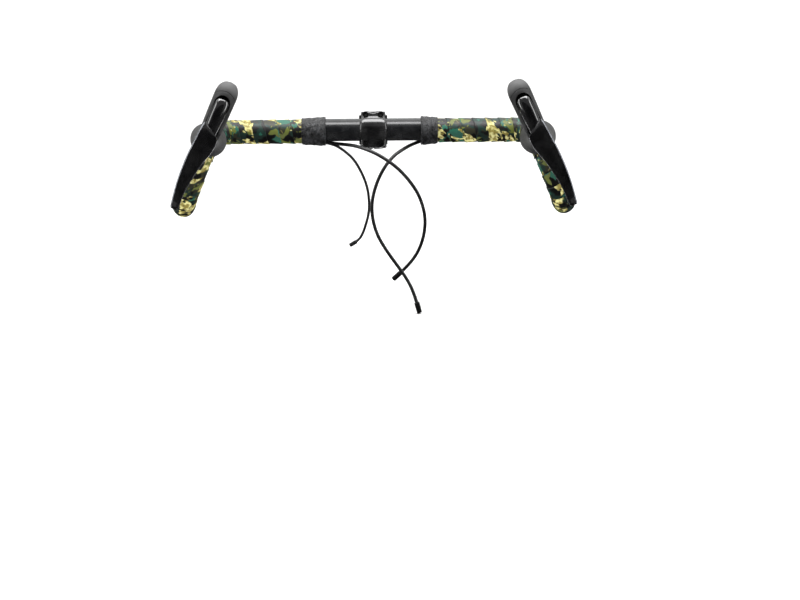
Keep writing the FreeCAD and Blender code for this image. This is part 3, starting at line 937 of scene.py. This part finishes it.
# ---------------------------------------------------------------- tape
@dataclass(frozen=True)
class TapeWrap:
    """Cushioned strip wound in overlapping turns along part of the bar.

    Attributes:
        name: the piece's name.
        track: the line that it is wound round.
        radius: the radius at a turn's foot.
        step: how far each turn's edge stands over the last.
        pitch: the distance from edge to edge.
        phase: where round the bar the first edge starts.
    """

    name: str
    track: Track
    radius: float
    step: float = 1.0 * MM
    pitch: float = 18.5 * MM
    phase: float = 0.0

    AROUND = 80
    PROFILE = ((0.0, 0.0), (0.02, 0.72), (0.045, 0.97), (0.08, 1.0), (0.2, 0.88), (0.36, 0.7),
               (0.52, 0.52), (0.68, 0.35), (0.84, 0.17))

    def ripple(self, distance: float, angle: float) -> float:
        """Slight unevenness of the wound foam, in metres."""
        at = Vector((distance * 55, math.cos(angle) * 0.9, math.sin(angle) * 0.9))
        return noise.noise(at) * 0.45 * MM

    def build(self, look: bpy.types.Material) -> bpy.types.Object:
        """Wind the strip.

        Args:
            look: its material, which reads the strip's own UV.

        Returns:
            The tape's object.
        """
        form = bmesh.new()
        sheet = form.loops.layers.uv.new("strip")
        rows = len(self.PROFILE)
        turns = math.ceil(self.track.length / self.pitch) + 1
        grid: dict[tuple[int, int], bmesh.types.BMVert] = {}
        for row in range(-rows, turns * rows + 1):
            for column in range(self.AROUND):
                grid[row, column] = form.verts.new(self.point(row, column))
        around = 2 * math.pi * self.radius
        for row in range(-rows, (turns - 1) * rows):
            turn, part = divmod(row, rows)
            low = self.PROFILE[part][0]
            high = self.PROFILE[part + 1][0] if part + 1 < rows else 1.0
            for column in range(self.AROUND):
                corners = [self.vertex(grid, row, column),
                           self.vertex(grid, row, column + 1),
                           self.vertex(grid, row + 1, column + 1),
                           self.vertex(grid, row + 1, column)]
                face = form.faces.new(corners)
                spots = ((column, low), (column + 1, low), (column + 1, high), (column, high))
                for corner, (step, share) in zip(face.loops, spots):
                    corner[sheet].uv = ((turn + step / self.AROUND) * around, share * self.pitch)
        bmesh.ops.remove_doubles(form, verts=form.verts, dist=0.01 * MM)
        loose = [v for v in form.verts if not v.link_faces]
        bmesh.ops.delete(form, geom=loose, context="VERTS")
        made = new_object(self.name, form, look)
        mark_sharp(made, 50)
        return made

    def vertex(self, grid: dict[tuple[int, int], bmesh.types.BMVert], row: int,
               column: int) -> bmesh.types.BMVert:
        """The vertex of a row and column, where the last column is the next turn's first."""
        if column == self.AROUND:
            return grid[row + len(self.PROFILE), 0]
        return grid[row, column]

    def point(self, row: int, column: int) -> Vector:
        """A point of the strip's surface."""
        turn, part = divmod(row, len(self.PROFILE))
        share, height = self.PROFILE[part]
        turned = column / self.AROUND
        distance = (turn + share + turned) * self.pitch
        angle = self.phase + turned * 2 * math.pi
        held = min(max(distance, 0.0), self.track.length)
        radius = self.radius + height * self.step + self.ripple(held, angle)
        return self.track.around(distance, angle, radius)


@dataclass(frozen=True)
class BarTape:
    """One side's tape: a length over the tops and hoses, and one over the hook."""

    side: Side
    bar: BarLine
    tops_radius: float = 16.5 * MM
    drop_radius: float = 15.2 * MM
    out: float = 1.1 * MM
    below: float = 1.9 * MM

    def tops(self) -> Track:
        """The line that the tape over the tops and the ramp is wound round."""
        low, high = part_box(self.side.named("finishing_tape"))
        start_x = max(abs(low[0]), abs(high[0])) - 1 * MM
        corners = self.bar.corners(self.side)
        shift = Vector((self.out * self.side.value, self.out, -self.below))
        start = Vector((start_x * self.side.value, corners[0].y + self.out,
                        corners[0].z - self.below))
        line = RoundedLine((start, corners[1] + shift, corners[2] + shift * 0.3, corners[3]),
                           (self.bar.radii[0] + self.out, self.bar.radii[1]))
        points = line.points(2 * MM)
        inside = self.bar.centre.y - self.bar.reach + 4 * MM
        return Track([p for p in points if p.y > inside], Vector((0, 0, 1)))

    def hook(self) -> Track:
        """The line from under the hood round the hook to the plug."""
        corners = self.bar.corners(self.side)
        line = RoundedLine(corners[1:], self.bar.radii[1:])
        points = line.points(2 * MM)
        top = corners[2].z - 10 * MM
        first = next(i for i, p in enumerate(points) if p.z < top)
        return Track(points[first:], Vector((0, -1, 0)))

    def build(self, look: bpy.types.Material) -> None:
        """Wind both lengths and put them in place of the CAD tape."""
        upper = TapeWrap(self.side.named("tape_tops"), self.tops(), self.tops_radius,
                         phase=1.1 + self.side.value).build(look)
        lower = TapeWrap(self.side.named("tape_hook"), self.hook(), self.drop_radius,
                         phase=2.3 - self.side.value).build(look)
        for piece in (upper, lower):
            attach(piece, ROOT_BODY)
            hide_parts(self.side.named("bar_tape"))


@dataclass(frozen=True)
class FinishingTape:
    """The wrinkled black tape that holds the wrap's inner end."""

    side: Side
    bar: BarLine
    inner_radius: float = 20.3 * MM
    outer_radius: float = 18.5 * MM
    bar_radius: float = 15.95 * MM
    below: float = 1.8 * MM
    around: int = 144
    along: int = 56
    turns: float = 3.2

    def radius(self, share: float, angle: float) -> float:
        """The sleeve's radius, with its turns' edges and its crumples."""
        base = self.inner_radius + (self.outer_radius - self.inner_radius) * share
        turn = (share * self.turns + angle / (2 * math.pi)) % 1.0
        at = Vector((share * 7 + angle * 0.8, math.cos(angle) * 3.2, math.sin(angle) * 3.2))
        crumple = (noise.noise(at) * 0.6 + noise.noise(at * 2.7) * 0.45
                   + noise.noise(at * 6.1) * 0.25)
        return base + (0.35 - 0.6 * turn + crumple * 0.9) * MM

    def build(self, look: bpy.types.Material) -> None:
        """Make the sleeve and put it in place of the CAD one."""
        low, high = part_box(self.side.named("finishing_tape"))
        near = min(abs(low[0]), abs(high[0]))
        far = max(abs(low[0]), abs(high[0]))
        rings = []
        for k in range(self.along + 1):
            share = k / self.along
            ends = 0.9 * MM if k in (0, self.along) else 0.0
            rings.append(self.ring(near + (far - near) * share,
                                   lambda a: self.radius(share, a) - ends))
        rings.insert(0, self.ring(near + 0.4 * MM, lambda a: self.bar_radius + 0.3 * MM))
        rings.append(self.ring(far - 0.4 * MM, lambda a: self.outer_radius - 3 * MM))
        sleeve = new_object(self.side.named("finishing_wrap"), loft(rings, capped=False), look)
        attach(sleeve, ROOT_BODY)
        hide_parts(self.side.named("finishing_tape"))

    def ring(self, x: float, radius: Callable[[float], float]) -> list[Vector]:
        """One ring round the bar at a distance from the middle."""
        centre = self.bar.centre
        found = []
        for k in range(self.around):
            angle = 2 * math.pi * k / self.around
            reach = radius(angle)
            sag = self.below * min(1.0, max(0.0, (reach - self.bar_radius) / (3 * MM)))
            found.append(Vector((x * self.side.value, centre.y + math.sin(angle) * reach,
                                 centre.z - sag + math.cos(angle) * reach)))
        return found


# ---------------------------------------------------------------- levers
@dataclass(frozen=True)
class LeverBlade:
    """The curved gloss blade with bevels down its edges, painted a pale metallic grey as a painted
    highlight.

    Attributes:
        lever: the lever's own axes.
        body: the CAD body that it rides on.
    """

    lever: LeverFrame
    body: str

    # up, front, back, inner side, outer side
    STATIONS = ((23.0, 106.4, 103.6, 8.0, 12.4), (18.0, 107.8, 103.4, 1.0, 12.8),
                (13.0, 108.6, 102.9, -7.5, 13.2), (8.0, 109.0, 102.0, -13.6, 13.6),
                (1.0, 108.8, 100.8, -14.4, 14.0), (-6.0, 107.6, 99.4, -13.9, 14.5),
                (-12.0, 106.2, 97.6, -12.8, 15.0), (-20.0, 104.0, 96.4, -10.3, 15.6),
                (-30.0, 101.6, 93.8, -7.4, 15.9), (-40.0, 99.4, 91.0, -5.4, 15.8),
                (-54.0, 95.8, 87.4, -3.2, 15.2), (-66.0, 92.6, 84.6, -1.6, 14.2),
                (-78.0, 90.2, 83.0, -1.2, 12.6), (-86.0, 90.0, 83.4, -1.8, 11.2),
                (-92.0, 91.0, 85.0, -2.0, 10.0), (-96.0, 91.8, 86.6, -1.5, 9.2),
                (-98.2, 91.4, 88.0, 0.2, 7.6))
    PIECE = "blade"
    NODE = "lever_blade"
    SLOT = "lever_gloss"
    BEVEL = 1.5
    HEM = 0.7
    CROWN = 0.7
    FRONT_POINTS = 9

    def ring(self, up: float, front: float, back: float, inner: float,
             outer: float) -> list[Vector]:
        """The blade's section at one height.

        Args:
            up: the height above the seat.
            front: how far forward its face is.
            back: how far forward its rear is.
            inner: its inboard side.
            outer: its outboard side.

        Returns:
            The section's points, once round.
        """
        width = outer - inner
        bevel = min(self.BEVEL, width * 0.3)
        hem = min(self.HEM, width * 0.15)
        middle, half = (outer - bevel + inner + hem) / 2, (outer - bevel - inner - hem) / 2
        section = [(inner + 0.4, back), (inner, (front + back) / 2),
                   (inner + 0.1, front - 1.1 - hem)]
        for k in range(self.FRONT_POINTS):
            share = -1 + 2 * k / (self.FRONT_POINTS - 1)
            section.append((middle + half * share, front - self.CROWN * share * share * 0.8))
        section += [(outer, front - self.CROWN - bevel * 0.9), (outer, (front + back) / 2),
                    (outer - 0.5, back)]
        return [self.lever.point(side, forward, up) for side, forward in section]

    def node(self) -> str:
        """The CAD node that it replaces."""
        return self.lever.rider_side.named(self.NODE)

    def build(self, gloss: bpy.types.Material, edge: bpy.types.Material) -> None:
        """Make the blade and put it in place of the CAD one.

        Args:
            gloss: the face's material.
            edge: the bevelled edges' material, a painted highlight.
        """
        rings = [self.ring(*row) for row in eased(self.STATIONS, 5)]
        form = loft(rings)
        blade = new_object(self.lever.rider_side.named(self.PIECE), form, gloss, edge)
        count = len(rings[0])
        # The bevel strips take the second material, the painted highlight.
        strips = (2, 3 + self.FRONT_POINTS - 1)
        for index, polygon in enumerate(blade.data.polygons):
            if index < (len(rings) - 1) * count and index % count in strips:
                polygon.material_index = 1
        mark_sharp(blade, 32)
        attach(blade, self.body)
        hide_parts(self.node())


class ReleasePaddle(LeverBlade):
    """The small lever behind the shift blade that lets the cable out."""

    STATIONS = ((5.8, 88.0, 85.2, -1.6, 2.0), (4.2, 88.1, 85.0, -3.2, 2.8),
                (-2.0, 88.2, 84.8, -5.2, 3.2), (-9.0, 88.2, 84.8, -5.8, 0.6),
                (-15.0, 88.2, 84.8, -7.6, -1.8), (-26.0, 88.2, 84.8, -10.2, -4.4),
                (-33.0, 88.2, 84.8, -9.6, -5.0), (-36.0, 88.0, 85.2, -8.2, -6.0))
    PIECE = "paddle"
    NODE = "release_paddle"
    SLOT = "lever_resin"

    def node(self) -> str:
        """The CAD node that it replaces, of which there is only one."""
        return self.NODE


@dataclass(frozen=True)
class LeverHead:
    """The gloss head over the lever's base, seen in the mouth of the hood."""

    lever: LeverFrame
    body: str

    # up, front, back, half width
    STATIONS = ((64.0, 101.5, 96.0, 4.6), (62.8, 103.6, 94.0, 7.6), (59.5, 106.0, 92.5, 9.8),
                (54.0, 107.6, 91.5, 10.6), (46.0, 108.4, 91.0, 10.6), (38.0, 108.2, 91.0, 10.4),
                (30.0, 107.4, 91.5, 9.8), (22.0, 106.4, 93.0, 9.2), (14.0, 104.6, 94.5, 8.8),
                (6.0, 102.6, 95.0, 8.8), (-2.0, 100.2, 95.0, 8.8), (-6.8, 98.6, 95.4, 8.0))
    POINTS = 28
    POWER = 0.62
    BOW = 0.028

    def build(self, gloss: bpy.types.Material) -> None:
        """Make the head and put it in place of the CAD face."""
        rings = []
        for up, front, back, half in eased(self.STATIONS, 5):
            rings.append([self.edge(up, front, back, half, 2 * math.pi * k / self.POINTS)
                          for k in range(self.POINTS)])
        head = new_object(self.lever.rider_side.named("lever_head"), loft(rings), gloss)
        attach(head, self.body)
        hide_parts(self.lever.rider_side.named("lever_face"))

    def edge(self, up: float, front: float, back: float, half: float, angle: float) -> Vector:
        """A point of a rounded-square section, bowed back at its sides."""
        x, y = math.sin(angle), math.cos(angle)
        side = math.copysign(abs(x) ** self.POWER, x) * half
        depth = math.copysign(abs(y) ** self.POWER, y) * (front - back) / 2
        forward = (front + back) / 2 + depth
        return self.lever.point(side, forward - self.BOW * side * side, up)


@dataclass(frozen=True)
class HoodPlug:
    """The rubber plug in the crown of the hood, over the bleed screw.

    Attributes:
        lever: the lever's own axes.
        forward: how far forward of the seat the plug sits, in millimetres.
        up: how far above the seat, in millimetres.
        tilt: how far its face leans back from forward.
    """

    lever: LeverFrame
    forward: float = 95.7
    up: float = 87.0
    tilt: float = math.radians(80)

    # height over the hood, radius
    RINGS = ((-2.2, 3.2), (0.0, 3.5), (0.35, 3.3), (0.6, 2.4), (0.7, 0.9))
    POINTS = 32

    def build(self, rubber: bpy.types.Material) -> None:
        """Make the plug and set it in the hood."""
        sine, cosine = math.sin(self.tilt), math.cos(self.tilt)
        rings = []
        for height, radius in self.RINGS:
            ring = []
            for k in range(self.POINTS):
                angle = 2 * math.pi * k / self.POINTS
                across, along = radius * math.cos(angle), radius * math.sin(angle)
                ring.append(self.lever.point(across, self.forward + height * cosine - along * sine,
                                             self.up + height * sine + along * cosine))
            rings.append(ring)
        plug = new_object(self.lever.rider_side.named("hood_plug"), loft(rings), rubber)
        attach(plug, ROOT_BODY)


# ---------------------------------------------------------------- stem
@dataclass(frozen=True)
class Faceplate:
    """The stem's cast faceplate, arched over the bar, with rounded lobes round its bolts.

    Attributes:
        bar: the line whose middle it clamps.
    """

    bar: BarLine

    # up, half width, front
    STATIONS = ((-25.6, 10.0, 8.6), (-25.0, 13.2, 10.4), (-23.2, 15.6, 11.6), (-20.0, 16.6, 12.2),
                (-16.8, 16.6, 13.4), (-13.0, 17.8, 16.4), (-8.0, 19.4, 19.0), (0.0, 20.0, 20.6),
                (8.0, 19.4, 19.0), (13.0, 17.8, 16.4), (16.8, 16.6, 13.4), (20.0, 16.6, 12.2),
                (23.2, 15.6, 11.6), (25.0, 13.2, 10.4), (25.6, 10.0, 8.6))
    POINTS = 48
    BACK = 0.7
    DENT = 2.6
    POWER = 0.45

    def build(self, look: bpy.types.Material) -> None:
        """Make the plate and put it in place of the CAD one."""
        rings = [[self.edge(*row, 2 * math.pi * k / self.POINTS) for k in range(self.POINTS)]
                 for row in eased(self.STATIONS, 3)]
        plate = new_object("faceplate", loft(rings), look)
        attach(plate, ROOT_BODY)
        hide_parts("stem_faceplate")

    def edge(self, up: float, half: float, front: float, angle: float) -> Vector:
        """A point of the rounded section at one height, dented between the bolts' lobes."""
        x, y = math.sin(angle), math.cos(angle)
        across = math.copysign(abs(x) ** self.POWER, x) * half
        middle = (front + self.BACK) / 2
        forward = middle + math.copysign(abs(y) ** self.POWER, y) * (front - self.BACK) / 2
        ends = max(0.0, abs(up) - 18.0) / 7.6
        up -= math.copysign(self.DENT * ends * max(0.0, 1 - (across / 6.5) ** 2), up)
        sine, cosine = math.sin(self.bar.stem_rise), math.cos(self.bar.stem_rise)
        return self.bar.centre + Vector((across, up * sine - forward * cosine,
                                         up * cosine + forward * sine)) * MM


# ---------------------------------------------------------------- softened CAD copies
@dataclass(frozen=True)
class Softened:
    """A copy of a hard-edged CAD node with its edges rounded.

    Attributes:
        node: the CAD node.
        body: the body it rides on.
        slot: the record's material slot; not used.
        radius: the bevel's width.
    """

    node: str
    body: str
    slot: str
    radius: float

    def build(self, look: bpy.types.Material) -> None:
        """Copy the node, merge its flat facets, bevel its edges and put it in the node's place."""
        form = bmesh.new()
        form.from_mesh(frame["nodes"][self.node].data)
        bmesh.ops.remove_doubles(form, verts=form.verts, dist=0.002 * MM)
        bmesh.ops.dissolve_limit(form, angle_limit=math.radians(1.5), verts=form.verts,
                                 edges=form.edges)
        sharp = [e for e in form.edges
                 if len(e.link_faces) == 2 and e.calc_face_angle() > math.radians(35)]
        bmesh.ops.bevel(form, geom=sharp, offset=self.radius, segments=2, profile=0.6,
                        affect="EDGES", clamp_overlap=True)
        piece = new_object("soft_" + self.node, form, look)
        mark_sharp(piece, 38)
        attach(piece, self.body)
        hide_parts(self.node)


# ---------------------------------------------------------------- the whole part
class Handlebar:
    """Every piece of the part, and the finishes that they share."""

    def __init__(self) -> None:
        self.bar = BarLine()
        self.levers = {side: LeverFrame.of(side) for side in Side}
        self.finishes = {
            "bar_black": Moulded("bar_black", linear("101113"), 0.24, 0.35 * MM, 0.012 * MM, 0.2),
            "stem_black": Moulded("stem_black", linear("131415"), 0.33, 0.4 * MM, 0.015 * MM, 0.3),
            "stem_gloss": Moulded("stem_gloss", linear("0c0c0d"), 0.2, 0.4 * MM, 0.01 * MM, 0.3,
                                  coat=0.5),
            "bolt_black": Moulded("bolt_black", linear("101011"), 0.34, 0.3 * MM, 0.01 * MM, 0.3,
                                  metallic=0.6),
            "plug_black": Moulded("plug_black", linear("141415"), 0.55, 0.5 * MM, 0.03 * MM),
            "lever_resin": Moulded("lever_resin", linear("0e0e10"), 0.5, 0.5 * MM, 0.03 * MM),
            "lever_gloss": Moulded("lever_gloss", linear("060607"), 0.16, 0.8 * MM, 0.004 * MM, 0.1,
                                   coat=1.0),
            "hose_black": Moulded("hose_black", linear("0d0d0e"), 0.36, 0.6 * MM, 0.015 * MM),
            "fitting_black": Moulded("fitting_black", linear("1a1a1b"), 0.33, metallic=0.7),
            "seal_rubber": Moulded("seal_rubber", linear("121212"), 0.7),
            "resin_natural": Moulded("resin_natural", linear("c9c4b4"), 0.45),
            "steel_parts": Turned("steel_parts", linear("b9bbbf"), 0.28),
        }
        self.looks = {slot: finish.material() for slot, finish in self.finishes.items()}
        self.looks["bar_tape"] = Camouflage("bar_tape").material()
        # The second colour is the painted highlight on the tape's ridges.
        self.looks["finishing_tape"] = Crumpled("finishing_tape", linear("0b0b0c"),
                                                linear("4a4b4e"), 0.34).material()
        # Painted highlight: a pale metallic grey on the blades' bevels, in place of the reflections
        # on their black edges.
        self.edge = Moulded("lever_edge", linear("77797e"), 0.25, 0.4 * MM, 0.01 * MM,
                            metallic=0.85).material()

    def hoses(self) -> None:
        """Hang the free hoses."""
        for hose in HOSES:
            hose.build(self.looks["hose_black"])

    def tape(self) -> None:
        """Wind the bar tape and the finishing tape."""
        for side in Side:
            BarTape(side, self.bar).build(self.looks["bar_tape"])
            FinishingTape(side, self.bar).build(self.looks["finishing_tape"])

    def lever_pieces(self) -> None:
        """Make the blades and the heads, and dress the hoods."""
        bodies = {Side.LEFT: ("left_lever", "left_lever"),
                  Side.RIGHT: ("right_lever_base", "right_blade")}
        for side, lever in self.levers.items():
            head_body, blade_body = bodies[side]
            LeverHead(lever, head_body).build(self.looks["lever_gloss"])
            LeverBlade(lever, blade_body).build(self.looks["lever_gloss"], self.edge)
            if side is Side.RIGHT:
                resin = self.looks["lever_resin"]
                ReleasePaddle(lever, "release").build(resin, resin)
            rubber = Ribbed(side.named("hood_rubber"), linear("212121"), 0.6, 0.9 * MM, 0.6 * MM,
                            lever=lever)
            look = rubber.material()
            self.dress(side.named("hood"), look)
            HoodPlug(lever).build(look)

    def stem(self) -> None:
        """Round the edges of the stem and make its faceplate."""
        Softened("stem_body", ROOT_BODY, "stem_black", 0.9 * MM).build(self.looks["stem_black"])
        Faceplate(self.bar).build(self.looks["stem_gloss"])

    def carried_over(self) -> None:
        """Give every other CAD node its slot's finish."""
        for row in frame["record"]["subparts"]:
            if not row["node"].startswith("hood_"):
                self.dress(row["node"], self.looks[self.slot_look(row["material_slot"])])

    def slot_look(self, slot: str) -> str:
        """The finish that stands for a slot, where a slot has no plain one of its own."""
        return slot if slot in self.looks else "lever_resin"

    def dress(self, node: str, look: bpy.types.Material) -> None:
        """Put a material on a CAD node.

        Args:
            node: the node's name.
            look: its material.
        """
        for holder in frame["nodes"][node].material_slots:
            holder.material = look


def plain(bounds: Sequence[Sequence[float]]) -> list[list[float]]:
    """A box as plain lists of numbers."""
    return [[float(value) for value in corner] for corner in bounds]


def main() -> None:
    """Build the studio and the part, and report each piece."""
    logging.basicConfig(level=logging.INFO, format="%(name)s: %(message)s")
    before = plain(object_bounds())
    bpy.context.scene.view_settings.view_transform = "Standard"
    studio = Studio()
    part = Handlebar()
    studio.camera(part.bar.centre)
    part.hoses()
    part.tape()
    part.lever_pieces()
    part.stem()
    part.carried_over()
    studio.world()
    studio.lights()
    studio.floor(before[0][2])
    studio.flags(before[0][2])
    for made in bpy.data.objects:
        if made.type in ("MESH", "CURVE"):
            LOG.info("%s, %d faces", made.name, len(getattr(made.data, "polygons", ())))


if __name__ == "__main__":
    main()
